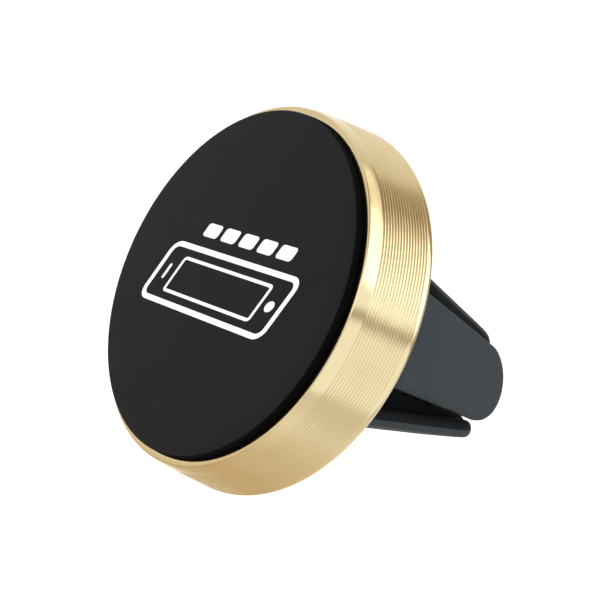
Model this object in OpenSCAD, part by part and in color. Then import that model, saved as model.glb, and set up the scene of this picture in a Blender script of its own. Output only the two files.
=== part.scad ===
// Car vent phone mount: a round magnetic head with a turned aluminium ring, a hidden ball
// joint behind it, and a four-pronged rubber clip that pushes onto the blades of an air vent.
//
// The origin is the seat of the clip, on the clip's axis, where a blade meets the bottom of
// the slots. +Y points into the vent, -Y points out of the phone face, and +Z is up.
// All lengths are in millimetres.
//
// Round parts are drawn along their own Z axis, as depths behind the front of the pad, and
// on_axis() lays them along Y. The clip's parts are drawn straight in the part's frame.

/* [Head] */
// Outer diameter of the metal ring
ring_d = 40; // [39.5:0.5:44]
// How far the soft pad stands out of the ring
pad_proud = 0.92; // [0.5:0.02:1.1]
// Number of turned grooves round the ring
groove_count = 16; // [8:1:18]
// Depth of each turned groove
groove_depth = 0.09; // [0.05:0.01:0.2]

/* [Magnets] */
// Diameter of each disc magnet
magnet_d = 9; // [7:0.5:9.5]
// Radius of the circle that the magnets stand on
magnet_circle_r = 12.2; // [12:0.1:12.6]

/* [Ball joint] */
// Diameter of the ball
ball_d = 10; // [9.8:0.1:10]
// Diameter of the neck behind the ball
neck_d = 4.4; // [3.6:0.1:4.4]
// Gap between the ball and each shell that turns on it
running_gap = 0.08; // [0.05:0.01:0.08]

/* [Clip] */
// Depth of the slots, from the mouth between the prongs to the seat
slot_depth = 20.5; // [17:0.1:22]
// Width of a prong at its root
prong_w = 11.1; // [10:0.1:11.4]
// Width of a prong where its round tip begins
prong_tip_w = 8.8; // [8:0.1:9.2]
// Thickness of a prong's tongue
prong_t = 2; // [1.8:0.1:2.6]
// Angle at which a prong leans in towards the axis
prong_lean = 11.3; // [9:0.1:12]
// Distance from the axis to a prong's outer face, at the seat
prong_reach = 9.65; // [9.5:0.05:10]
// Width of the slot that takes a horizontal blade
slot_narrow = 1.6; // [1.4:0.1:2.4]
// Width of the slot that takes a vertical blade, for thicker blades
slot_wide = 3; // [2:0.1:3.4]

/* [Hidden] */
$fn = 96;
slack = 0.05;                            // gap round a piece that drops into a pocket
press_gap = 0.02;                        // gap round a piece that is pressed or screwed in

// Depths behind the front of the pad
seat_depth = 17.8;                       // the seat of the clip, which is the origin
pad_t = 1.55;
adhesive_t = 0.15;
carrier_front = pad_t + adhesive_t;
shoulder_front = 3.2;                    // the ring's inner shoulder, clamped by the screws
shoulder_back = 4.0;
magnet_back = 4.7;
yoke_back = 5.5;
cover_inside = 7.6;
cover_back = 9.0;
ring_back = 9.15;
boss_back = 10.8;
socket_back = 12.0;
flange_front = 14.4;
base_front = 15.0;

// The ring, as radii
ring_r = ring_d / 2;
rim_r = ring_r - 0.65;                   // at the very back, inside the rounded edge
band_r = ring_r - 0.6;                   // where the polished front band meets the grooves
lip_r = ring_r - 0.94;                   // outer edge of the thin front lip
pad_r = ring_r - 1.7;
opening_r = pad_r + slack;
shoulder_r = ring_r - 2.7;
bore_r = ring_r - 1.55;
grooves_front = 2.3;                     // depths of the grooved band
grooves_back = 8.0;
groove_pitch = (grooves_back - grooves_front) / groove_count;
groove_land = 0.3;                       // the share of the pitch that stays uncut

// The stack inside the ring
flange_r = opening_r - slack;
cover_r = bore_r - slack;
cover_wall = 1.2;
carrier_r = cover_r - cover_wall - slack;
yoke_r = carrier_r - slack;
yoke_hole_r = 7.2;                       // clears the hub of the cover
magnet_r = magnet_d / 2;
screw_circle_r = 14.5;
screw_angles = [30, 150, 270];
screw_r = 0.98;
screw_hole_r = 1.1;
screw_head_r = 1.75;
screw_head_t = 1.1;
screw_front = carrier_front + 0.05;
screw_back = 8.1;
screw_boss_r = 2.3;

// The ball joint: nested shells on one centre
ball_depth = 8.6;
ball_r = ball_d / 2;
neck_r = neck_d / 2;
shell_t = 0.47;
liner_in = ball_r + running_gap;
liner_out = liner_in + shell_t;
cup_in = liner_out + running_gap;
cup_out = cup_in + shell_t;
socket_r = cup_out + running_gap;
shell_back = 0.7;                        // how far the shells reach behind the ball's centre
hub_r = 7.1;
boss_r = 7.9;
ring_seat_r = 7.05;                      // where the socket ring is pressed in
socket_ring_r = 7.0;
lip_clearance = 0.1;                     // between the ball and the lip that holds it
lip_start = 119;                         // angles of the lip, from the front of the ball
lip_end = 126;

// The clip
core_r = 8.4;
collar_corner_r = 11;
insert_r = 2.45;
insert_back = 17.2;
stud_r = 1.5;
stud_back = 17.1;
stud_flange_r = 3.6;
root_gap = 0.3;                          // room for a prong to flex at its root
tip_r = prong_tip_w / 2;
tip_at = (slot_depth / cos(prong_lean)) - tip_r;
keel_half = 3.2;
keel_end = 18.5;
lead_l = 3.5;                            // length of the lead-in at the mouth of the slots
lead_from = 1.2;                         // its distance from the axis where it begins
tip_gap = 0.5;                           // the least gap between neighbouring tongues
tooth_h = 0.3;
tooth_l = 1.1;
tooth_pitch = 1.9;
tooth_count = 6;
tooth_start = 2.2;
tine_half = 2.5;
tine_t = 0.6;
tine_inset = 0.7;                        // rubber over the tine, on its outer side
tine_end = 15;
big = 60;                                // larger than the whole part, for cutting blocks

// Lays a part that was drawn along Z along the head's axis, front of the pad first.
module on_axis() {
    translate([0, -seat_depth, 0]) rotate([-90, 0, 0]) children();
}

// A round slab between two depths.
module slab(r, front, back) {
    translate([0, 0, front]) cylinder(r = r, h = back - front);
}

// Points of an arc in the plane of radius and depth. Angles are from the front, in degrees.
function ball_arc(r, from, to, steps) = [
    for (i = [0:steps])
        let (a = from + (to - from) * i / steps)
        [r * sin(a), ball_depth - r * cos(a)]
];

// ---------------------------------------------------------------- the head

// The ring's outer radius at a depth inside the grooved band.
function band_at(depth) =
    band_r + (ring_r - band_r) * (depth - grooves_front) / (grooves_back - grooves_front);

// Each groove is an uncut land and a V.
function groove_points() = [
    for (i = [0:groove_count - 1])
        let (start = grooves_front + i * groove_pitch)
        let (cut = start + groove_land * groove_pitch)
        let (valley = start + (1 + groove_land) / 2 * groove_pitch)
        each [
            [band_at(start), start],
            [band_at(cut), cut],
            [band_at(valley) - groove_depth, valley]
        ]
];

module face_pad() {
    edge = 0.25;
    color([0.17, 0.17, 0.18]) on_axis() rotate_extrude() polygon([
        [0, 0], [pad_r - edge, 0], [pad_r, edge], [pad_r, pad_t], [0, pad_t]
    ]);
}

module pad_adhesive() {
    color([0.9, 0.88, 0.8]) on_axis() slab(pad_r - 0.4, pad_t, carrier_front);
}

module trim_ring() {
    round_front = 8.3;
    color([0.83, 0.68, 0.4]) on_axis() rotate_extrude() polygon(concat(
        [[opening_r, pad_proud], [lip_r, pad_proud]],
        groove_points(),
        [[ring_r, grooves_back], [ring_r, round_front]],
        [for (a = [22.5:22.5:67.5])
            [rim_r + (ring_r - rim_r) * cos(a), round_front + (ring_back - round_front) * sin(a)]],
        [[rim_r, ring_back], [bore_r, ring_back], [bore_r, shoulder_back]],
        [[shoulder_r, shoulder_back], [shoulder_r, shoulder_front], [opening_r, shoulder_front]]
    ));
}

// Calls its children once at each magnet or screw, moved out to its circle.
module round_circle(r, angles) {
    for (a = angles) rotate([0, 0, a]) translate([r, 0, 0]) children();
}

module magnet_carrier() {
    color([0.12, 0.12, 0.12]) on_axis() difference() {
        union() {
            slab(flange_r, carrier_front, shoulder_front);
            slab(carrier_r, shoulder_front, magnet_back);
        }
        round_circle(magnet_circle_r, [0:60:300]) slab(magnet_r + slack, 0, yoke_back);
        round_circle(screw_circle_r, screw_angles) {
            slab(screw_hole_r, 0, yoke_back);
            slab(screw_head_r + slack, 0, screw_front + screw_head_t);
        }
        translate([0, 0, ball_depth]) sphere(r = socket_r);
    }
}

module magnet(number) {
    color([0.78, 0.78, 0.8]) on_axis() round_circle(magnet_circle_r, [60 * (number - 1)])
        slab(magnet_r, carrier_front, magnet_back);
}

module yoke_plate() {
    color([0.6, 0.6, 0.62]) on_axis() difference() {
        slab(yoke_r, magnet_back, yoke_back);
        slab(yoke_hole_r, 0, cover_back);
        round_circle(screw_circle_r, screw_angles) slab(screw_hole_r, 0, cover_back);
    }
}

module rear_cover() {
    rib_w = 1.2;
    rib_l = cover_r - cover_wall / 2 - hub_r;
    color([0.1, 0.1, 0.1]) on_axis() difference() {
        union() {
            slab(cover_r, cover_inside, cover_back);
            difference() {
                slab(cover_r, shoulder_back, cover_back);
                slab(cover_r - cover_wall, 0, cover_back);
            }
            slab(hub_r, magnet_back, cover_back);
            slab(boss_r, cover_inside, boss_back);
            round_circle(screw_circle_r, screw_angles) slab(screw_boss_r, yoke_back, cover_back);
            for (a = [0:60:300]) rotate([0, 0, a])
                translate([hub_r - 0.5, -rib_w / 2, yoke_back + 0.4])
                cube([rib_l, rib_w, cover_inside - yoke_back]);
        }
        translate([0, 0, ball_depth]) sphere(r = socket_r);
        slab(ring_seat_r, ball_depth, socket_back);
        round_circle(screw_circle_r, screw_angles) slab(screw_r + press_gap, 0, screw_back);
    }
}

module cover_screws() {
    recess_l = 2;
    recess_w = 0.45;
    recess_deep = 0.6;
    color([0.55, 0.55, 0.57]) on_axis() round_circle(screw_circle_r, screw_angles) difference() {
        union() {
            slab(screw_head_r, screw_front, screw_front + screw_head_t);
            slab(screw_r, screw_front, screw_back);
        }
        for (a = [0, 90]) rotate([0, 0, a])
            translate([-recess_l / 2, -recess_w / 2, screw_front - 1])
            cube([recess_l, recess_w, 1 + recess_deep]);
    }
}

// The ring pressed into the cover's boss. Its lip reaches past the ball's widest part.
module socket_ring() {
    funnel_r = 4.6;
    bevel = 0.8;
    color([0.08, 0.08, 0.08]) on_axis() rotate_extrude() polygon(concat(
        [[socket_ring_r, ball_depth], [socket_ring_r, socket_back - bevel]],
        [[socket_ring_r - bevel, socket_back], [funnel_r, socket_back]],
        ball_arc(ball_r + lip_clearance, lip_end, lip_start, 3),
        ball_arc(socket_r, lip_start, 90, 10)
    ));
}

// ---------------------------------------------------------------- the ball joint

// A cup that wraps the front of the ball and ends a little behind its middle.
module ball_shell(inner, outer) {
    on_axis() difference() {
        translate([0, 0, ball_depth]) sphere(r = outer);
        translate([0, 0, ball_depth]) sphere(r = inner);
        slab(big, ball_depth + shell_back, big);
    }
}

module preload_cup() {
    color([0.25, 0.25, 0.27]) ball_shell(cup_in, cup_out);
}

module ball_liner() {
    color([0.9, 0.9, 0.86]) ball_shell(liner_in, liner_out);
}

module ball_stud() {
    color([0.2, 0.2, 0.21]) on_axis() {
        translate([0, 0, ball_depth]) sphere(r = ball_r);
        slab(neck_r, ball_depth, flange_front);
        slab(stud_flange_r, flange_front, base_front);
        slab(stud_r, base_front, stud_back);
    }
}

// ---------------------------------------------------------------- the clip

module thread_insert() {
    color([0.8, 0.65, 0.3]) on_axis() difference() {
        slab(insert_r, base_front, insert_back);
        slab(stud_r + press_gap, 0, big);
    }
}

module clip_core() {
    color([0.15, 0.15, 0.16]) on_axis() difference() {
        slab(core_r, base_front, seat_depth);
        slab(insert_r + press_gap, 0, insert_back);
    }
}

// The rubber round the core: a square with round corners, whose sides carry on the prongs'.
module boot_collar() {
    color([0.2, 0.21, 0.22]) on_axis() difference() {
        intersection() {
            slab(collar_corner_r, base_front, seat_depth);
            rotate([0, 0, 45]) translate([-prong_reach, -prong_reach, 0])
                cube([2 * prong_reach, 2 * prong_reach, big]);
        }
        slab(core_r + press_gap, 0, big);
    }
}

// Puts what is drawn at the upper right at prong 1, 2, 3 or 4, counted anticlockwise.
module at_prong(number) {
    if (number == 1) children();
    if (number == 2) mirror([1, 0, 0]) children();
    if (number == 3) rotate([0, 180, 0]) children();
    if (number == 4) mirror([0, 0, 1]) children();
}

// Turns the prong's own frame to the upper right: X out from the axis, Y along the prong.
module diagonal() {
    rotate([0, -45, 0]) children();
}

// A flat blank that leans like the prong. Its outline has its root at zero and its thickness
// goes from depth "top" to depth "bottom" below the prong's outer face.
module leaning(top, bottom) {
    diagonal() translate([prong_reach, 0, 0]) rotate([0, 0, prong_lean])
        translate([-bottom, 0, 0]) rotate([90, 0, 90])
        linear_extrude(height = bottom - top) children();
}

// A tongue: straight sides that taper to a round tip.
module tongue_outline(overrun) {
    arc_steps = 14;
    polygon(concat(
        [[-overrun, -prong_w / 2], [0, -prong_w / 2]],
        [for (i = [0:arc_steps])
            let (a = -90 + 180 * i / arc_steps)
            [tip_at + tip_r * cos(a), tip_r * sin(a)]],
        [[0, prong_w / 2], [-overrun, prong_w / 2]]
    ));
}

// Small barbed ridges on the face at height "face", running along X from "start".
module teeth(face, start) {
    translate([start, 0, 0]) rotate([90, 0, 90]) linear_extrude(height = keel_half * 2.5)
        for (i = [0:tooth_count - 1])
            let (y = tooth_start + i * tooth_pitch)
            polygon([[y, face + 0.1], [y, face], [y + 0.2, face - tooth_h],
                [y + tooth_l, face], [y + tooth_l, face + 0.1]]);
}

// The space to the upper right of both blade slots, which are this wide.
module beside_slots(vertical, horizontal) {
    translate([vertical / 2, -big / 2, horizontal / 2]) cube([big, big, big]);
}

// The keel behind the tongue. Its two faces are the walls of the blade slots.
module keel() {
    intersection() {
        union() {
            beside_slots(slot_wide, slot_narrow);
            teeth(slot_narrow / 2, slot_wide / 2);
            mirror([1, 0, -1]) teeth(slot_wide / 2, slot_narrow / 2);
        }
        diagonal() translate([0, 0, -keel_half]) cube([big, keel_end, 2 * keel_half]);
        diagonal() translate([prong_reach, 0, 0]) rotate([0, 0, prong_lean])
            translate([-big - prong_t / 2, -big, -big]) cube([big, 2 * big, 2 * big]);
        // the lead-in at the mouth
        diagonal() translate([lead_from, keel_end - lead_l, 0]) rotate([0, 0, -45])
            translate([0, -2 * big, -big]) cube([big, 2 * big, 2 * big]);
    }
}

// One rubber prong, cut off square a little above the seat.
module grip(number) {
    color([0.25, 0.27, 0.29]) at_prong(number) difference() {
        union() {
            intersection() {
                leaning(0, prong_t) tongue_outline(2);
                beside_slots(tip_gap, tip_gap);
            }
            keel();
        }
        translate([-big / 2, root_gap - big, -big / 2]) cube([big, big, big]);
        leaning(tine_inset, tine_inset + tine_t) tine_outline();
    }
}

module tine_outline() {
    translate([-2, -tine_half]) square([2 + tine_end, 2 * tine_half]);
}

// The stiff strip inside a prong.
module tine(number) {
    color([0.3, 0.3, 0.31]) at_prong(number) difference() {
        leaning(tine_inset, tine_inset + tine_t) tine_outline();
        translate([-big / 2, root_gap - big, -big / 2]) cube([big, big, big]);
    }
}

face_pad();
pad_adhesive();
trim_ring();
magnet_carrier();
magnet(1);  // magnet_1
magnet(2);  // magnet_2
magnet(3);  // magnet_3
magnet(4);  // magnet_4
magnet(5);  // magnet_5
magnet(6);  // magnet_6
yoke_plate();
rear_cover();
cover_screws();
socket_ring();
preload_cup();
ball_liner();
ball_stud();
thread_insert();
clip_core();
boot_collar();
grip(1);  // grip_1
grip(2);  // grip_2
grip(3);  // grip_3
grip(4);  // grip_4
tine(1);  // tine_1
tine(2);  // tine_2
tine(3);  // tine_3
tine(4);  // tine_4
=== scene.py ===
"""A car vent phone mount: a grooved gold ring with a dark pad, on a ball joint with a rubber clip.

Lengths are in millimetres and are turned into metres where a mesh is made. A point on a turned part
is (radius, y): y runs along the axis, from the phone face at the negative end into the vent.
"""
import math

import bmesh
import bpy
from mathutils import Matrix, Vector


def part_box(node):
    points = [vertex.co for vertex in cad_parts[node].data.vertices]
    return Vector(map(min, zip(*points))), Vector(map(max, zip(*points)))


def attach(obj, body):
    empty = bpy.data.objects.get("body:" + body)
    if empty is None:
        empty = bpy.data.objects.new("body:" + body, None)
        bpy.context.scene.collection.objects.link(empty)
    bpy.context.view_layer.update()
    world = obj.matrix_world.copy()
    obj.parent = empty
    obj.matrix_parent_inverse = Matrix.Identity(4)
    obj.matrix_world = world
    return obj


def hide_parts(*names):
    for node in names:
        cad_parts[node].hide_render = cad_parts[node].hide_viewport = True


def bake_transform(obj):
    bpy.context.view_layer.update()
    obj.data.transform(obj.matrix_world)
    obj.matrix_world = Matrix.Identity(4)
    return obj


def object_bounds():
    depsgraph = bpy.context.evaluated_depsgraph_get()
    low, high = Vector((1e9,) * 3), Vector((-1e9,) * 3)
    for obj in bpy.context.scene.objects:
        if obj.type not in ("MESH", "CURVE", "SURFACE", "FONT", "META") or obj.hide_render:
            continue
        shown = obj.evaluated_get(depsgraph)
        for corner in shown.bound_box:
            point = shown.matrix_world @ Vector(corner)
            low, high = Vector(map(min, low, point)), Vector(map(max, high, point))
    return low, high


MM = 0.001
TURN = 2 * math.pi

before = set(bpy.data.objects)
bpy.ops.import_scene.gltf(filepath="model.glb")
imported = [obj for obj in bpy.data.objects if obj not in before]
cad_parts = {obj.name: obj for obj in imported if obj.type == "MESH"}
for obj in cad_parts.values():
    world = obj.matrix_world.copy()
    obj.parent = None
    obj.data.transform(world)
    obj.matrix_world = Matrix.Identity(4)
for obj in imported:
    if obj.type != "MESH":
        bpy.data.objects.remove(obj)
cad_low, cad_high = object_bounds()


def box_mm(node):
    """A CAD node's lowest and highest corner, in millimetres."""
    low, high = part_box(node)
    return low / MM, high / MM


# ------------------------------------------------------------------ sizes, from the CAD model
pad_low, pad_high = box_mm("face_pad")
ring_low, ring_high = box_mm("trim_ring")
cover_low, cover_high = box_mm("rear_cover")
socket_high = box_mm("socket_ring")[1]
stud_low, stud_high = box_mm("ball_stud")
collar_low, collar_high = box_mm("boot_collar")
grip_high = box_mm("grip_1")[1]

FRONT = pad_low.y
PAD_R = pad_high.x
RING_R = ring_high.x
LIP_Y = ring_low.y
RING_BACK = ring_high.y
BALL_R = stud_high.x
BALL_Y = stud_low.y + BALL_R
BASE_FRONT = collar_low.y
TIP_Y = grip_high.y

# The ring, as it is cut in the CAD model
LIP_R = RING_R - 0.94
BAND_R = RING_R - 0.6
OPENING_R = PAD_R + 0.05
SHOULDER_R = RING_R - 2.7
BORE_R = RING_R - 1.55
GROOVES_FRONT = FRONT + 2.3
GROOVES_BACK = FRONT + 8.0
SHOULDER_FRONT = FRONT + 3.2
SHOULDER_BACK = FRONT + 4.0
GROOVE_COUNT = 16
GROOVE_DEPTH = 0.09

# The hollow sphere that the ball and its shells sit in
SOCKET_R = 6.18

# The prongs
PRONG_W = 11.1
PRONG_TIP_W = 8.8
PRONG_T = 2.0
PRONG_LEAN = math.radians(11.3)
PRONG_REACH = 9.65
TIP_GAP = 0.54
SIDE_ROUND = 0.7
INNER_ROUND = 0.9
TIP_ROUND = 0.85
SLOT_NARROW = 1.6
SLOT_WIDE = 3.0
KEEL_HALF = 3.2
KEEL_END = 18.5
LEAD_LENGTH = 3.5


# ------------------------------------------------------------------ mesh helpers
def add_object(name, bm, materials, body, sharp=40):
    """Makes an object from a bmesh in millimetres: smooth, with sharp edges where faces turn."""
    bmesh.ops.recalc_face_normals(bm, faces=bm.faces)
    for face in bm.faces:
        face.smooth = True
    for edge in bm.edges:
        if len(edge.link_faces) == 2:
            edge.smooth = edge.calc_face_angle(0) < math.radians(sharp)
    mesh = bpy.data.meshes.new(name)
    bm.to_mesh(mesh)
    bm.free()
    mesh.transform(Matrix.Scale(MM, 4))
    obj = bpy.data.objects.new(name, mesh)
    bpy.context.scene.collection.objects.link(obj)
    for material in materials:
        mesh.materials.append(material)
    if body:
        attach(obj, body)
    return obj


def bridge(bm, ring_a, ring_b, closed=True):
    """Joins two rows of vertices with quads. A row of one vertex gives a fan."""
    count = max(len(ring_a), len(ring_b))
    faces = []
    for i in range(count if closed else count - 1):
        j = (i + 1) % count
        corners = [
            ring_a[i % len(ring_a)],
            ring_a[j % len(ring_a)],
            ring_b[j % len(ring_b)],
            ring_b[i % len(ring_b)],
        ]
        corners = list(dict.fromkeys(corners))
        if len(corners) > 2:
            faces.append(bm.faces.new(corners))
    return faces


def turn(bm, profile, steps=192, centre=(0, 0)):
    """Turns a closed profile of (radius, y) about an axis along Y through centre, which is (x, z)."""
    rows = []
    for radius, y in profile:
        if radius < 1e-6:
            rows.append([bm.verts.new((centre[0], y, centre[1]))])
            continue
        rows.append(
            [
                bm.verts.new(
                    (
                        centre[0] + radius * math.cos(TURN * i / steps),
                        y,
                        centre[1] + radius * math.sin(TURN * i / steps),
                    )
                )
                for i in range(steps)
            ]
        )
    pairs = zip(rows, rows[1:] + rows[:1])
    return [face for a, b in pairs for face in bridge(bm, a, b)]


def arc(centre, radius, start, end, steps):
    """Points of an arc in the (radius, y) plane. Angles are in degrees."""
    points = []
    for i in range(steps + 1):
        a = math.radians(start + (end - start) * i / steps)
        points.append((centre[0] + radius * math.cos(a), centre[1] + radius * math.sin(a)))
    return points


def rounded(corners, steps=4):
    """A profile with its corners rounded. Each corner is (radius, y) or (radius, y, fillet).

    The last corner is joined to the first, so where an arc is added, those two have no fillet.
    """
    points = []
    count = len(corners)
    for i, corner in enumerate(corners):
        here = Vector(corner[:2])
        fillet = corner[2] if len(corner) > 2 else 0
        if not fillet:
            points.append(tuple(here))
            continue
        back = (Vector(corners[i - 1][:2]) - here).normalized()
        ahead = (Vector(corners[(i + 1) % count][:2]) - here).normalized()
        half = back.angle(ahead) / 2
        reach = fillet / math.tan(half)
        middle = here + (back + ahead).normalized() * fillet / math.sin(half)
        start = here + back * reach - middle
        end = here + ahead * reach - middle
        sweep = start.angle_signed(end)
        for k in range(steps + 1):
            a = -sweep * k / steps
            turned = Vector(
                (
                    start.x * math.cos(a) - start.y * math.sin(a),
                    start.x * math.sin(a) + start.y * math.cos(a),
                )
            )
            points.append(tuple(middle + turned))
    return points


def turned_piece(name, profile, material, body, replaces, steps=192, centres=((0, 0),)):
    """A turned piece, or several equal ones in one object."""
    bm = bmesh.new()
    for centre in centres:
        turn(bm, profile, steps, centre)
    obj = add_object(name, bm, [material], body)
    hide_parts(*replaces)


# ------------------------------------------------------------------ materials
def set_stops(ramp, stops):
    """Gives a colour ramp its (position, colour) stops."""
    while len(ramp.elements) < len(stops):
        ramp.elements.new(0.5)
    for element, (position, colour) in zip(ramp.elements, stops):
        element.position = position
        element.color = (*colour, 1)


INPUTS = {"metallic": "Metallic", "specular": "Specular IOR Level", "roughness": "Roughness"}


class Nodes:
    """A short way to write a material's node tree."""

    def __init__(self, name, **settings):
        self.material = bpy.data.materials.new(name)
        self.material.use_nodes = True
        self.tree = self.material.node_tree
        self.shader = self.tree.nodes["Principled BSDF"]
        for key, value in settings.items():
            self.shader.inputs[INPUTS[key]].default_value = value

    def add(self, kind, **values):
        node = self.tree.nodes.new("ShaderNode" + kind)
        for key, value in values.items():
            if hasattr(node, key):
                setattr(node, key, value)
            else:
                node.inputs[key.title()].default_value = value
        return node

    def link(self, source, target):
        self.tree.links.new(source, target)

    def position(self):
        return self.add("TexCoord").outputs["Object"]

    def noise(self, scale, detail=3.0, roughness=0.5, stretch=None):
        """Noise over the object's own coordinates, in metres."""
        node = self.add("TexNoise", scale=scale, detail=detail, roughness=roughness)
        source = self.position()
        if stretch:
            mapping = self.add("Mapping")
            mapping.inputs["Scale"].default_value = stretch
            self.link(source, mapping.inputs["Vector"])
            source = mapping.outputs["Vector"]
        self.link(source, node.inputs["Vector"])
        return node.outputs["Fac"]

    def ramp(self, source, stops):
        """A colour ramp through (position, colour) stops."""
        node = self.add("ValToRGB")
        set_stops(node.color_ramp, stops)
        self.link(source, node.inputs["Fac"])
        return node.outputs["Color"]

    def spread(self, source, low, high):
        """Maps 0 to 1 onto low to high."""
        node = self.add("MapRange")
        node.inputs["To Min"].default_value = low
        node.inputs["To Max"].default_value = high
        self.link(source, node.inputs["Value"])
        return node.outputs["Result"]

    def bump(self, source, distance, strength):
        node = self.add("Bump")
        node.inputs["Strength"].default_value = strength
        node.inputs["Distance"].default_value = distance
        self.link(source, node.inputs["Height"])
        return node.outputs["Normal"]

    def finish(self, colour=None, roughness=None, normal=None):
        for socket, name in ((colour, "Base Color"), (roughness, "Roughness"), (normal, "Normal")):
            if socket:
                self.link(socket, self.shader.inputs[name])
        return self.material


def gold_material():
    """Gold anodised aluminium off a lathe: fine marks that run round the ring."""
    n = Nodes("gold_anodised", metallic=1.0)
    turning = n.noise(1.0, 4.0, 0.6, stretch=(60, 26000, 60))
    clouds = n.noise(220, 3.0)
    colour = n.ramp(clouds, [(0.3, (0.53, 0.435, 0.245)), (0.7, (0.57, 0.47, 0.275))])
    rough = n.spread(turning, 0.08, 0.18)
    return n.finish(colour, rough, n.bump(turning, 0.000006, 0.6))


def rubber_material(name, dark, light, rough, grain, depth, shine):
    """Moulded rubber: a little colour drift and a fine matt grain."""
    n = Nodes(name, specular=shine)
    drift = n.noise(160, 4.0)
    fine = n.noise(grain, 2.0, 0.6)
    colour = n.ramp(drift, [(0.3, dark), (0.7, light)])
    return n.finish(colour, n.spread(fine, rough - 0.05, rough + 0.05), n.bump(fine, depth, 0.5))


def plastic_material(name, dark, light, rough, grain=9000, depth=0.00001):
    """Moulded plastic, film or ink: a little colour drift and a fine grain."""
    n = Nodes(name)
    drift = n.noise(300, 3.0)
    fine = n.noise(grain, 2.0)
    colour = n.ramp(drift, [(0.35, dark), (0.65, light)])
    return n.finish(colour, n.spread(fine, rough - 0.06, rough + 0.06), n.bump(fine, depth, 0.4))


def metal_material(name, dark, light, rough_low, rough_high):
    """Plated or bare metal with rolling or turning marks."""
    n = Nodes(name, metallic=1.0)
    marks = n.noise(1.0, 4.0, 0.6, stretch=(400, 20000, 400))
    drift = n.noise(350, 3.0)
    colour = n.ramp(drift, [(0.35, dark), (0.65, light)])
    return n.finish(colour, n.spread(marks, rough_low, rough_high), n.bump(marks, 0.000004, 0.4))


gold = gold_material()
face_rubber = rubber_material(
    "face_rubber", (0.0070, 0.0077, 0.0090), (0.0084, 0.0093, 0.0106), 0.5, 14000, 0.000006, 0.07
)
wall_rubber = rubber_material(
    "wall_rubber", (0.0008, 0.0008, 0.0008), (0.0012, 0.0012, 0.0012), 0.9, 12000, 0.00001, 0.05
)
silicone = rubber_material(
    "silicone", (0.0235, 0.0290, 0.0320), (0.0275, 0.0335, 0.0370), 0.75, 9000, 0.000006, 0.1
)
# Painted shade: a near-black copy of the silicone for the prongs' side walls, inner faces and keels,
# where the neighbouring prongs shade them.
painted_shade_silicone = rubber_material(
    "painted_shade_silicone", (0.0070, 0.0080, 0.0088), (0.0090, 0.0102, 0.0112), 0.85, 9000, 0.000006, 0.05
)
print_ink = plastic_material("print_ink", (0.90, 0.92, 0.94), (0.94, 0.96, 0.98), 0.45)
moulded_black = plastic_material(
    "moulded_black", (0.012, 0.012, 0.013), (0.018, 0.018, 0.019), 0.5, 7000, 0.00002
)
acetal_black = plastic_material("acetal_black", (0.01, 0.01, 0.011), (0.014, 0.014, 0.015), 0.3)
acetal_white = plastic_material("acetal_white", (0.72, 0.71, 0.66), (0.82, 0.81, 0.76), 0.35)
nylon_black = plastic_material("nylon_black", (0.02, 0.02, 0.021), (0.028, 0.028, 0.03), 0.5)
adhesive = plastic_material("adhesive_film", (0.66, 0.62, 0.5), (0.78, 0.75, 0.64), 0.6)
nickel = metal_material("nickel_plate", (0.66, 0.65, 0.62), (0.75, 0.74, 0.72), 0.12, 0.25)
zinc = metal_material("zinc_plate", (0.5, 0.52, 0.55), (0.62, 0.63, 0.64), 0.25, 0.4)
spring_steel = metal_material("spring_steel", (0.2, 0.2, 0.22), (0.32, 0.32, 0.33), 0.3, 0.45)
black_steel = metal_material("black_oxide", (0.035, 0.035, 0.037), (0.06, 0.06, 0.062), 0.2, 0.35)
brass = metal_material("brass", (0.72, 0.52, 0.22), (0.82, 0.63, 0.3), 0.2, 0.35)


# ------------------------------------------------------------------ the head
def make_pad():
    """The pad: a flat satin face with a rounded edge over a black side wall."""
    edge = 0.22
    face_margin = 0.07
    face_depth = 0.3
    back = pad_high.y
    crown = rounded([(0, FRONT), (PAD_R, FRONT, edge), (PAD_R, back, 0.1), (0, back)], 6)
    rings = [(PAD_R * share, FRONT) for share in (0.25, 0.5, 0.75, 0.9)]
    profile = crown[:1] + rings + crown[1:]
    bm = bmesh.new()
    faces = turn(bm, profile, 256)
    for face in faces:
        middle = face.calc_center_median()
        radius = math.hypot(middle.x, middle.z)
        is_wall = radius > PAD_R - face_margin or middle.y > FRONT + face_depth
        face.material_index = 1 if is_wall else 0
    pad = add_object("pad_skin", bm, [face_rubber, wall_rubber], "head")
    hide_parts("face_pad")


def pad_point(along, rise, y):
    """A point on the pad's face, in the print's own directions: turned, and leaning like italics."""
    slant = math.radians(32)
    lean = 0.4
    c, d = math.cos(slant), math.sin(slant)
    along += lean * rise
    return (along * c - rise * d, y, along * d + rise * c)


def round_rect(half_w, half_h, corner, steps=8):
    """The outline of a rectangle with round corners, anticlockwise."""
    points = []
    for sx, sy, start in ((1, 1, 0), (-1, 1, 90), (-1, -1, 180), (1, -1, 270)):
        for k in range(steps + 1):
            a = math.radians(start + 90 * k / steps)
            x = sx * (half_w - corner) + corner * math.cos(a)
            y = sy * (half_h - corner) + corner * math.sin(a)
            points.append((x, y))
    return points


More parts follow.
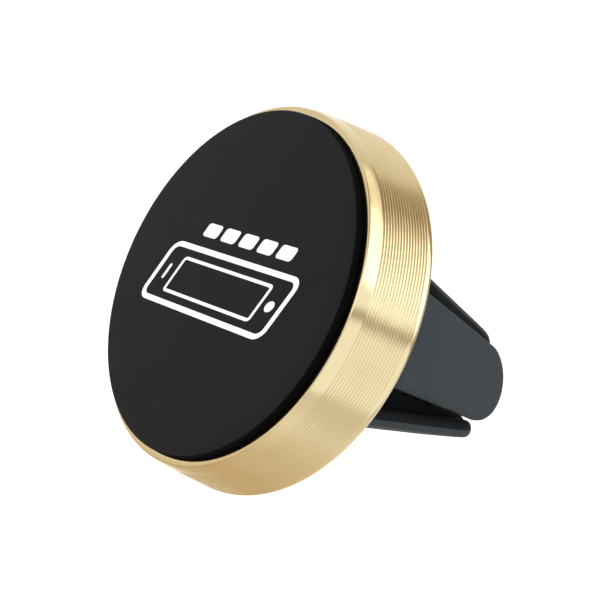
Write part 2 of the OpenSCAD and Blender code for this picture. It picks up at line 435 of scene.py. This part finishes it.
def make_print():
    """A plain printed sign: the outline of a phone, and a row of dashes above it."""
    ink = 0.03
    bm = bmesh.new()

    def slab(outline, hole=None, centre=(0, 0)):
        """A thin raised shape with an optional hole of the same number of points."""

        def row(points, y):
            return [
                bm.verts.new(pad_point(centre[0] + px, centre[1] + py, y)) for px, py in points
            ]

        top = row(outline, FRONT - ink)
        foot = row(outline, FRONT + ink)
        bridge(bm, top, foot)
        if not hole:
            bm.faces.new(top)
            bm.faces.new(foot)
            return
        hole_top = row(hole, FRONT - ink)
        hole_foot = row(hole, FRONT + ink)
        bridge(bm, hole_top, hole_foot)
        bridge(bm, top, hole_top)
        bridge(bm, foot, hole_foot)

    line = 0.6
    middle = -1.1
    half_w, half_h, corner = 11.2, 3.5, 1.4
    body = round_rect(half_w, half_h, corner)
    slab(body, round_rect(half_w - line, half_h - line, corner - line), (0, middle))
    screen_w, screen_h, screen_line = 7.9, 2.1, 0.35
    screen = round_rect(screen_w, screen_h, 0.5)
    slab(screen, round_rect(screen_w - screen_line, screen_h - screen_line, 0.2), (0, middle))
    button = round_rect(0.6, 0.6, 0.5999)
    speaker = round_rect(0.2, 0.9, 0.1999)
    inset = 1.95
    slab(button, None, (half_w - inset, middle))
    slab(speaker, None, (-half_w + inset, middle))
    dash = round_rect(1.25, 0.75, 0.4)
    dash_rise, dash_step = 4.3, 3.2
    for i in (-2, -1, 0, 1, 2):
        slab(dash, None, (dash_step * i, dash_rise))
    add_object("pad_print", bm, [print_ink], "head")


def ring_surface_r(y):
    """The ring's outer radius in the grooved band, before the grooves are cut."""
    share = (y - GROOVES_FRONT) / (GROOVES_BACK - GROOVES_FRONT)
    return BAND_R + (RING_R - BAND_R) * share


def groove_profile():
    """The grooves: each has a flat land, rounded shoulders and a rounded bottom."""
    pitch = (GROOVES_BACK - GROOVES_FRONT) / GROOVE_COUNT
    shape = [(0.0, 0.0), (0.24, 0.0), (0.34, 0.14), (0.54, 0.8), (0.64, 1.0), (0.74, 0.8), (0.92, 0.14)]
    points = []
    for i in range(GROOVE_COUNT):
        for along, down in shape:
            y = GROOVES_FRONT + (i + along) * pitch
            points.append((ring_surface_r(y) - down * GROOVE_DEPTH, y))
    return points


def make_ring():
    """The ring: front lip, polished band, grooves, rounded rear edge, and the shoulder inside."""
    round_y = FRONT + 8.3
    rim_r = RING_R - 0.65
    front = rounded(
        [
            (OPENING_R, SHOULDER_FRONT),
            (OPENING_R, LIP_Y, 0.06),
            (LIP_R, LIP_Y, 0.16),
            (BAND_R, GROOVES_FRONT),
        ]
    )[:-1]
    back = [
        (rim_r + (RING_R - rim_r) * math.cos(a), round_y + (RING_BACK - round_y) * math.sin(a))
        for a in [math.radians(d) for d in range(0, 91, 9)]
    ]
    inside = [
        (BORE_R + 0.15, RING_BACK),
        (BORE_R, RING_BACK - 0.15),
        (BORE_R, SHOULDER_BACK),
        (SHOULDER_R, SHOULDER_BACK),
        (SHOULDER_R, SHOULDER_FRONT),
    ]
    profile = front + groove_profile() + [(RING_R, GROOVES_BACK)] + back + inside
    turned_piece("ring_body", profile, gold, "head", ["trim_ring"], 288)


def make_cover():
    """The rear cover: a shallow dish with a raised boss round the socket."""
    cover_r = cover_high.x
    inside_y = FRONT + 7.6
    plate_y = FRONT + 9.0
    boss_r = 7.9
    seat_r = 7.05
    bowl_edge_r = 7.1
    corners = [
        (seat_r, BALL_Y, 0.0),
        (seat_r, cover_high.y, 0.12),
        (boss_r, cover_high.y, 0.3),
        (boss_r, plate_y, 0.5),
        (cover_r - 1.1, plate_y, 0.15),
        (cover_r - 0.9, plate_y - 0.25, 0.1),
        (cover_r - 0.5, plate_y - 0.25, 0.1),
        (cover_r - 0.3, plate_y, 0.1),
        (cover_r, plate_y, 0.1),
        (cover_r, SHOULDER_BACK, 0.1),
        (cover_r - 1.2, SHOULDER_BACK, 0.1),
        (cover_r - 1.2, inside_y, 0.3),
        (bowl_edge_r, inside_y, 0.2),
        (bowl_edge_r, cover_low.y),
    ]
    rim = math.degrees(math.acos((BALL_Y - cover_low.y) / SOCKET_R))
    bowl = arc((0, BALL_Y), SOCKET_R, rim - 90, 0, 8)
    turned_piece(
        "cover_body", rounded(corners) + bowl, moulded_black, "head", ["rear_cover"]
    )


def make_socket_ring():
    """The black ring that holds the ball in, with a funnel that the neck swings in."""
    outer = socket_high.x
    back = socket_high.y
    lip = BALL_R + 0.1
    lip_end, lip_start = 36, 29
    funnel_r = 4.6
    corners = [
        (outer, BALL_Y, 0.0),
        (outer, back - 0.8, 0.3),
        (outer - 0.8, back, 0.25),
        (funnel_r, back),
    ]
    inner = arc((0, BALL_Y), lip, lip_end, lip_start, 3)
    inner += arc((0, BALL_Y), SOCKET_R, lip_start, 0, 8)
    turned_piece(
        "socket_lip", rounded(corners) + inner, acetal_black, "head", ["socket_ring"]
    )


def make_magnets():
    """Six nickel-plated discs with rounded edges."""
    for number in range(1, 7):
        node = f"magnet_{number}"
        low, high = box_mm(node)
        radius = (high.x - low.x) / 2
        centre = ((low.x + high.x) / 2, (low.z + high.z) / 2)
        profile = rounded(
            [(0, low.y), (radius, low.y, 0.25), (radius, high.y, 0.25), (0, high.y)]
        )
        turned_piece(f"disc_{node}", profile, nickel, "head", [node], 64, [centre])


def make_screws():
    """Three small screws: a domed head, a threaded shank and a blunt point."""
    low, high = box_mm("cover_screws")
    circle_r = 14.5
    centres = [
        (circle_r * math.cos(math.radians(a)), -circle_r * math.sin(math.radians(a)))
        for a in (30, 150, 270)
    ]
    head_r, head_t = 1.75, 1.1
    drive_r, drive_rim_r, drive_depth = 0.55, 0.75, 0.5
    dome_at, dome_r = 0.95, 0.8
    plain_l, point_l, point_r = 0.5, 1.0, 0.3
    pitch = 0.4
    shank_y = low.y + head_t
    core, crest = 0.72, 0.98
    threads = []
    y = shank_y + plain_l
    while y < high.y - point_l:
        threads += [(core, y), (crest, y + pitch * 0.45), (crest, y + pitch * 0.55), (core, y + pitch)]
        y += pitch
    profile = [(0, low.y + drive_depth), (drive_r, low.y + drive_depth), (drive_rim_r, low.y)]
    profile += arc((dome_at, low.y + dome_r), dome_r, -90, 0, 5)[1:]
    profile += [(head_r, shank_y), (core, shank_y)] + threads + [(point_r, high.y), (0, high.y)]
    turned_piece("screw_set", profile, zinc, "head", ["cover_screws"], 32, centres)


# ------------------------------------------------------------------ the joint
def make_stud():
    """The ball, its neck and the flange that sits on the clip."""
    neck_r = 2.2
    flange_r = 3.6
    flange_y = FRONT + 14.4
    shank_r = 1.5
    blend_r = 0.5
    rise = math.sqrt((BALL_R + blend_r) ** 2 - (neck_r + blend_r) ** 2)
    meet = math.degrees(math.atan2(rise, neck_r + blend_r))
    ball = arc((0, BALL_Y), BALL_R, -90, meet, 40)
    ball[0] = (0, stud_low.y)
    root = arc((neck_r + blend_r, BALL_Y + rise), blend_r, 180 + meet, 180, 5)
    stem = rounded(
        [
            (neck_r, BALL_Y + rise + 0.2),
            (neck_r, flange_y, 0.35),
            (flange_r, flange_y, 0.2),
            (flange_r, BASE_FRONT, 0.05),
            (shank_r, BASE_FRONT, 0.1),
            (shank_r, stud_high.y, 0.2),
            (0, stud_high.y),
        ]
    )
    turned_piece("ball_and_neck", ball + root + stem, black_steel, "clip", ["ball_stud"], 128)


# ------------------------------------------------------------------ the clip
def prong_frame(number):
    """Turns (out, y, across) of prong 1 to 4 into a point. Even prongs are mirror images of odd ones."""
    flip_x = -1 if number in (2, 3) else 1
    flip_z = -1 if number in (3, 4) else 1
    root = math.sqrt(0.5)

    def place(out, y, across):
        return Vector((flip_x * (out - across) * root, y, flip_z * (out + across) * root))

    return place


def prong_out(y):
    """Distance out from the axis of a prong's outer face. The root dips into the collar."""
    dip, curl, ease = 0.05, 0.5, 1.0
    if y < 0:
        return PRONG_REACH - dip - curl * y * y
    if y < ease:
        return PRONG_REACH - math.tan(PRONG_LEAN) * (y + ease) ** 2 / (4 * ease)
    return PRONG_REACH - math.tan(PRONG_LEAN) * y


def tongue_outline():
    """(distance along the tongue, half width): the straight side and then the round tip."""
    tip_r = PRONG_TIP_W / 2
    tip_at = TIP_Y / math.cos(PRONG_LEAN) - tip_r
    straight_steps = 28
    root = -1.2
    outline = []
    for i in range(straight_steps):
        u = root + (tip_at - root) * i / straight_steps
        outline.append((u, PRONG_W / 2 + (tip_r - PRONG_W / 2) * max(0, u) / tip_at))
    tip_steps = 18
    for k in range(tip_steps + 1):
        a = math.radians(90 * k / tip_steps)
        outline.append((tip_at + tip_r * math.sin(a), tip_r * math.cos(a)))
    return outline


def tongue_layers():
    """Angles through the outer edge's rounding and then the inner edge's."""
    quarter = [math.radians(a) for a in (0, 22.5, 45, 67.5, 90)]
    return [(0, a) for a in quarter] + [(1, a) for a in quarter]


def make_tongue(number):
    """One rubber prong: a tapering tongue with rounded edges and a round tip, and its keel. Faces set
    back from the outer face (side walls, inner face, keel) get painted shade: a darker copy of the
    silicone.
    """
    place = prong_frame(number)
    outline = tongue_outline()
    layers = tongue_layers()
    tip_at = outline[-1][0] - PRONG_TIP_W / 2
    columns = 12
    tip_ease = 2
    # Painted shade: faces deeper than this share of the tongue's thickness get the darker silicone.
    painted_shade_share = 0.4
    lean_cos, lean_sin = math.cos(PRONG_LEAN), math.sin(PRONG_LEAN)

    def point(u, across, depth):
        p = place(
            prong_out(u * lean_cos) - depth * lean_cos, u * lean_cos - depth * lean_sin, across
        )
        p.x = math.copysign(max(abs(p.x), TIP_GAP / 2), p.x)
        p.z = math.copysign(max(abs(p.z), TIP_GAP / 2), p.z)
        return p

    def layer_row(layer, side):
        """One edge of a layer, pulled in from the outline all round by the rounding there."""
        inner, a = layer
        points = []
        for i, (u, half) in enumerate(outline):
            tip_share = min(1, max(0, (u - tip_at + tip_ease) / (2 * tip_ease)))
            side_round = (SIDE_ROUND, INNER_ROUND)[inner]
            radius = side_round + (TIP_ROUND - side_round) * tip_share**2
            if inner:
                inset, depth = radius * (1 - math.cos(a)), PRONG_T - radius * (1 - math.sin(a))
            else:
                inset, depth = radius * (1 - math.sin(a)), radius * (1 - math.cos(a))
            before = outline[max(0, i - 1)]
            after = outline[min(len(outline) - 1, i + 1)]
            along = Vector((after[0] - before[0], after[1] - before[1])).normalized()
            normal = Vector((-along.y, along.x))
            if i == len(outline) - 1:
                normal = Vector((1, 0))
            points.append((u - normal.x * inset, side * max(0, half - normal.y * inset), depth))
        return points

    bm = bmesh.new()
    rows = []
    for layer in layers:
        left = [bm.verts.new(point(*p)) for p in layer_row(layer, -1)]
        right = [bm.verts.new(point(*p)) for p in layer_row(layer, 1)[:-1]]
        rows.append((left, right + left[-1:]))
    for side in (0, 1):
        for a, b in zip(rows, rows[1:]):
            bridge(bm, a[side], b[side], closed=False)
    for which in (0, -1):
        edge = layer_row(layers[which], 1)
        left, right = rows[which]
        previous = None
        for i in range(len(edge) - 1):
            u, half, depth = edge[i]
            line = [left[i]]
            for c in range(1, columns):
                line.append(bm.verts.new(point(u, half * (2 * c / columns - 1), depth)))
            line.append(right[i])
            if previous:
                bridge(bm, previous, line, closed=False)
            previous = line
        bridge(bm, previous, [left[-1]], closed=False)
    root_edges = [edge for edge in bm.edges if edge.is_boundary]
    bmesh.ops.holes_fill(bm, edges=root_edges, sides=0)
    add_keel(bm, place)
    # Painted shade: the deeper faces get the darker copy of the silicone.
    for face in bm.faces:
        middle = face.calc_center_median()
        out = (abs(middle.x) + abs(middle.z)) * math.sqrt(0.5)
        face.material_index = 1 if prong_out(middle.y) - out > painted_shade_share * PRONG_T else 0
    tongue = add_object(f"tongue_{number}", bm, [silicone, painted_shade_silicone], None, 35)
    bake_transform(tongue)
    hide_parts(f"grip_{number}")


def add_keel(bm, place):
    """The ribbed keel behind a tongue. Its two faces line the two blade slots."""
    root2 = math.sqrt(2)
    tooth_h, tooth_l, pitch, first, count = 0.3, 1.1, 1.9, 2.2, 6
    root_y, tooth_rise = 0.3, 0.2
    apex_rise, web, lead_from, lead_steps = 0.25, 0.2, 1.2, 4
    lead_start = KEEL_END - LEAD_LENGTH
    stations = [(root_y, 0.0)]
    for i in range(count):
        y = first + i * pitch
        stations += [(y, 0.0), (y + tooth_rise, tooth_h), (y + tooth_l, 0.0)]
    for i in range(lead_steps + 1):
        stations.append((lead_start + LEAD_LENGTH * i / lead_steps, 0.0))
    rows = []
    for y, tooth in stations:
        narrow = root2 * (SLOT_NARROW / 2 - tooth)
        wide = root2 * (SLOT_WIDE / 2 - tooth)
        top = prong_out(y) - PRONG_T / 2
        apex = (narrow + wide) / 2 + apex_rise
        lead = lead_from + max(0.0, y - lead_start)
        low = min(max(apex, lead), top - web)
        turn_narrow = min(max(low, narrow + KEEL_HALF), top)
        turn_wide = min(max(low, wide + KEEL_HALF), top)

        def narrow_side(out):
            return max(-KEEL_HALF, narrow - out)

        def wide_side(out):
            return min(KEEL_HALF, out - wide)

        section = [(out, narrow_side(out)) for out in (low, turn_narrow, top)]
        section += [(out, wide_side(out)) for out in (top, turn_wide, low)]
        rows.append([bm.verts.new(place(out, y, across)) for out, across in section])
    for a, b in zip(rows, rows[1:]):
        bridge(bm, a, b)
    bm.faces.new(rows[0])
    bm.faces.new(rows[-1])


def make_collar():
    """The rubber round the clip's base: a square with round corners, softened at its edges."""
    inner = 8.42
    corner_r = 11
    softness = 20
    steps = 192
    back = collar_high.y
    front_round, back_round = 0.6, 0.3

    def outer(a):
        flat = PRONG_REACH / max(abs(math.cos(a)), abs(math.sin(a)))
        return (flat**-softness + corner_r**-softness) ** (-1 / softness)

    def row(radius_at, y):
        verts = []
        for i in range(steps):
            a = TURN * i / steps
            r = radius_at(a)
            verts.append((r * math.cos(a + TURN / 8), y, r * math.sin(a + TURN / 8)))
        return verts

    layers = []
    for d in (90, 67.5, 45, 22.5, 0):
        a = math.radians(d)
        layers.append((front_round * (1 - math.cos(a)), BASE_FRONT + front_round * (1 - math.sin(a))))
    for d in (0, 22.5, 45, 67.5, 90):
        a = math.radians(d)
        layers.append((back_round * (1 - math.cos(a)), back - back_round * (1 - math.sin(a))))
    bm = bmesh.new()
    rings = [
        [bm.verts.new(p) for p in row(lambda a: outer(a) - inset, y)] for inset, y in layers
    ]
    rings += [[bm.verts.new(p) for p in row(lambda a: inner, y)] for y in (back, BASE_FRONT)]
    for a, b in zip(rings, rings[1:] + rings[:1]):
        bridge(bm, a, b)
    collar = add_object("collar_body", bm, [silicone], "clip")
    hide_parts("boot_collar")


# ------------------------------------------------------------------ the CAD nodes that stay
def dress_cad_nodes():
    """Materials for the CAD nodes that are shown as they are."""
    finishes = {
        "pad_adhesive": adhesive,
        "magnet_carrier": moulded_black,
        "yoke_plate": zinc,
        "preload_cup": spring_steel,
        "ball_liner": acetal_white,
        "thread_insert": brass,
        "clip_core": nylon_black,
    }
    for number in range(1, 5):
        finishes[f"tine_{number}"] = spring_steel
    for name, material in finishes.items():
        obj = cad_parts[name]
        obj.data.materials.clear()
        obj.data.materials.append(material)


# ------------------------------------------------------------------ the studio
def area_light(name, angles, size, radiance):
    """A softbox over the object, at angles from straight up towards +X and +Y, looking at the object."""
    distance = 0.8
    outwards = Vector([math.tan(math.radians(a)) for a in angles] + [1]).normalized()
    across = (Vector((1, 0, 0)) - outwards * outwards.x).normalized()
    data = bpy.data.lights.new(name, "AREA")
    data.shape = "RECTANGLE"
    data.size, data.size_y = size
    data.energy = radiance * math.pi * size[0] * size[1]
    light = bpy.data.objects.new(name, data)
    bpy.context.scene.collection.objects.link(light)
    axes = Matrix((across, outwards.cross(across), outwards)).transposed()
    light.matrix_world = Matrix.Translation(outwards * distance) @ axes.to_4x4()


def world_ramp(tree, direction, stops):
    """A colour that changes across the sky: -1 is opposite the direction and 1 is along it."""
    coordinates = tree.nodes.new("ShaderNodeTexCoord")
    along = tree.nodes.new("ShaderNodeVectorMath")
    along.operation = "DOT_PRODUCT"
    along.inputs[1].default_value = Vector(direction).normalized()
    tree.links.new(coordinates.outputs["Generated"], along.inputs[0])
    share = tree.nodes.new("ShaderNodeMapRange")
    share.inputs["From Min"].default_value = -1
    tree.links.new(along.outputs["Value"], share.inputs["Value"])
    ramp = tree.nodes.new("ShaderNodeValToRGB")
    set_stops(ramp.color_ramp, [((position + 1) / 2, colour) for position, colour in stops])
    tree.links.new(share.outputs["Result"], ramp.inputs["Fac"])
    return ramp.outputs["Color"]


def make_world():
    """A soft room: white on the right and far left, dim and warm between, with one dark seam."""
    world = bpy.data.worlds.new("studio")
    world.use_nodes = True
    tree = world.node_tree
    background = tree.nodes["Background"]
    background.inputs["Strength"].default_value = 1.8
    room = [
        (-1.0, (0.72, 0.70, 0.66)),
        (-0.52, (0.70, 0.67, 0.62)),
        (-0.34, (0.66, 0.63, 0.57)),
        (-0.27, (0.36, 0.30, 0.23)),
        (-0.08, (0.28, 0.21, 0.155)),
        (0.08, (0.36, 0.30, 0.24)),
        (0.28, (0.60, 0.58, 0.56)),
        (0.60, (0.88, 0.92, 0.97)),
        (1.0, (0.90, 0.94, 1.00)),
    ]
    white = (1.0, 1.0, 1.0)
    dark = (0.42, 0.36, 0.30)
    seam = [(-0.08, white), (-0.03, dark), (0.02, dark), (0.07, white)]
    mix = tree.nodes.new("ShaderNodeMix")
    mix.data_type = "RGBA"
    mix.blend_type = "MULTIPLY"
    mix.inputs["Factor"].default_value = 1.0
    tree.links.new(world_ramp(tree, (0.95, 0.2, 0.25), room), mix.inputs["A"])
    tree.links.new(world_ramp(tree, (0.643, 0.042, -0.764), seam), mix.inputs["B"])
    tree.links.new(mix.outputs["Result"], background.inputs["Color"])
    return world


def make_floor():
    """A paper floor with painted light: pale tan under the object as painted shade, and white with a
    slight painted glow further out.
    """
    drop = 0.25
    half = 3.0
    bm = bmesh.new()
    bmesh.ops.create_grid(bm, x_segments=1, y_segments=1, size=half / MM)
    floor = add_object("floor", bm, [], None)
    floor.location.z = cad_low.z - drop
    n = Nodes("floor_paper_painted_shade_glow")
    # Painted glow: the floor gives off a little light of its own, strongest far from the object.
    n.shader.inputs["Emission Strength"].default_value = 0.08
    shade = None
    for operation, along, start, end in (
        ("DOT_PRODUCT", (-math.sqrt(0.5), math.sqrt(0.5), 0), 0.17, 0.27),
        ("DOT_PRODUCT", (1, 0, 0), 0.05, 0.5),
        ("LENGTH", None, 0.15, 0.60),
    ):
        measure = n.add("VectorMath", operation=operation)
        if along:
            measure.inputs[1].default_value = along
        n.link(n.position(), measure.inputs[0])
        share = n.add("MapRange")
        share.inputs["From Min"].default_value = start
        share.inputs["From Max"].default_value = end
        n.link(measure.outputs["Value"], share.inputs["Value"])
        if shade:
            most = n.add("Math", operation="MAXIMUM")
            n.link(shade, most.inputs[0])
            n.link(share.outputs["Result"], most.inputs[1])
            shade = most.outputs["Value"]
        else:
            shade = share.outputs["Result"]
    # Painted shade: the pale tan patch round the object stands in for its shade on the floor. Further
    # out the floor is white and glows.
    colour = n.ramp(shade, [(0.0, (0.64, 0.52, 0.36)), (1.0, (0.94, 0.94, 0.94))])
    glow = n.ramp(shade, [(0.0, (0.0, 0.0, 0.0)), (1.0, (1.0, 1.0, 1.0))])
    n.link(glow, n.shader.inputs["Emission Color"])
    floor.data.materials.append(n.finish(colour, n.spread(n.noise(3.0, 2.0), 0.85, 0.95)))


def make_studio():
    """The room, the floor and four softboxes."""
    scene = bpy.context.scene
    scene.world = make_world()
    scene.view_settings.view_transform = "Standard"
    make_floor()
    area_light("softbox_top", (12, 12.5), (0.6, 0.27), 1.7)
    area_light("softbox_top_left", (-22, 17), (0.37, 0.22), 1.2)
    area_light("softbox_back", (16, 42), (0.55, 0.52), 2.1)
    area_light("softbox_front", (30, -60), (0.5, 0.5), 1.6)


def make_camera():
    """The main view: from the upper right, rolled because the mount lies at an angle."""
    azimuth, elevation, roll = math.radians(47.82), math.radians(21.51), math.radians(43.42)
    back = Vector(
        (
            math.sin(azimuth) * math.cos(elevation),
            -math.cos(azimuth) * math.cos(elevation),
            math.sin(elevation),
        )
    )
    level = Vector((math.cos(azimuth), math.sin(azimuth), 0))
    rise = back.cross(level)
    right = math.cos(roll) * level + math.sin(roll) * rise
    up = math.cos(roll) * rise - math.sin(roll) * level
    data = bpy.data.cameras.new("camera")
    data.lens = 90
    data.sensor_width = 36
    data.clip_start = 0.01
    data.clip_end = 20
    camera = bpy.data.objects.new("camera", data)
    bpy.context.scene.collection.objects.link(camera)
    shift_right, shift_down, distance = 7.72, 2.13, 149.4
    face = Vector((0, FRONT, 0)) * MM
    place = face + (right * shift_right - up * shift_down + back * distance) * MM
    axes = Matrix((right, up, back)).transposed()
    camera.matrix_world = Matrix.Translation(place) @ axes.to_4x4()
    bpy.context.scene.camera = camera


make_camera()
make_pad()
make_print()
make_ring()
make_cover()
make_socket_ring()
make_magnets()
make_screws()
make_stud()
for prong in range(1, 5):
    make_tongue(prong)
make_collar()
dress_cad_nodes()
make_studio()
